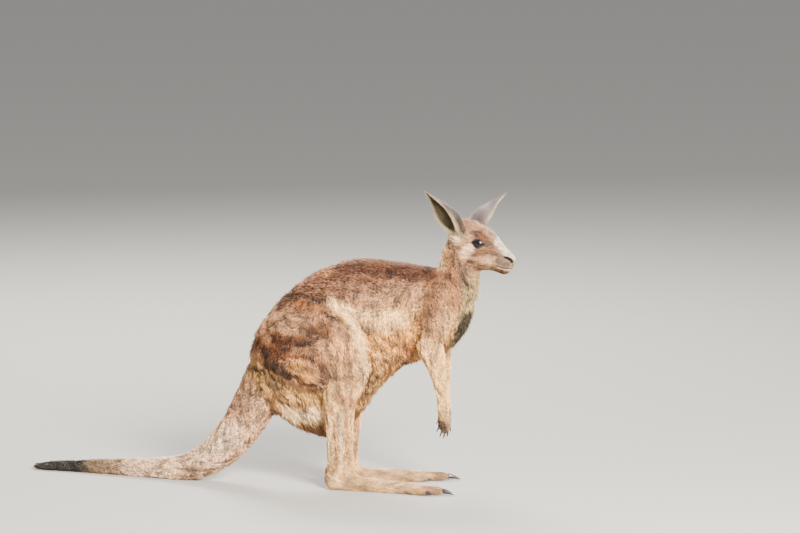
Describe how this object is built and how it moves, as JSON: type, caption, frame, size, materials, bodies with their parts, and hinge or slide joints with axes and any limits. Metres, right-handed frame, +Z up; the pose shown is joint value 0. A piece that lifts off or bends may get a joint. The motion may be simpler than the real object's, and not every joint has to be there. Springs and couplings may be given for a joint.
{
  "type": "kangaroo model",
  "caption": "Life-size still model of a grey kangaroo standing on its hind feet and long tail, forelegs hanging, head raised and ears turned apart.",
  "frame": {"origin": "on the floor under the middle of the animal's length and width: the bottom centre of its box", "axes": "+X from the tail towards the nose, +Y towards the animal's left, +Z up"},
  "size_m": [1.1689, 0.2762, 0.7046],
  "materials": {
    "coat_back": "short grey-brown fur, the darkest of the body, on the thighs and upper arms",
    "coat_flank": "fur of the trunk, reddish brown on the back, sandy on the flank and belly",
    "coat_tail": "grey-beige fur of the tail",
    "coat_dark": "near-black fur of the end of the tail",
    "coat_pale": "short pale fur of the forearms, paws, shanks and feet",
    "coat_face": "short grey-brown fur of the head and neck",
    "coat_ear": "fine blue-grey fur of the ears",
    "horn": "smooth dark horn of the claws",
    "eyeball": "wet dark brown eye"
  },
  "bodies": {
    "root": {"ear_left": "coat_ear", "ear_right": "coat_ear", "eye_left": "eyeball", "eye_right": "eyeball", "finger_claw_fifth_left": "horn", "finger_claw_fifth_right": "horn", "finger_claw_fourth_left": "horn", "finger_claw_fourth_right": "horn", "finger_claw_second_left": "horn", "finger_claw_second_right": "horn", "finger_claw_third_left": "horn", "finger_claw_third_right": "horn", "finger_claw_thumb_left": "horn", "finger_claw_thumb_right": "horn", "foot_left": "coat_pale", "foot_right": "coat_pale", "forearm_left": "coat_pale", "forearm_right": "coat_pale", "head": "coat_face", "neck": "coat_face", "paw_left": "coat_pale", "paw_right": "coat_pale", "shank_left": "coat_pale", "shank_right": "coat_pale", "tail_base": "coat_tail", "tail_middle": "coat_tail", "tail_tip": "coat_dark", "thigh_left": "coat_back", "thigh_right": "coat_back", "toe_claw_fifth_left": "horn", "toe_claw_fifth_right": "horn", "toe_claw_fourth_left": "horn", "toe_claw_fourth_right": "horn", "toe_claw_second_left": "horn", "toe_claw_second_right": "horn", "toe_claw_third_left": "horn", "toe_claw_third_right": "horn", "trunk": "coat_flank", "upper_arm_left": "coat_back", "upper_arm_right": "coat_back"}
  },
  "joints": []
}
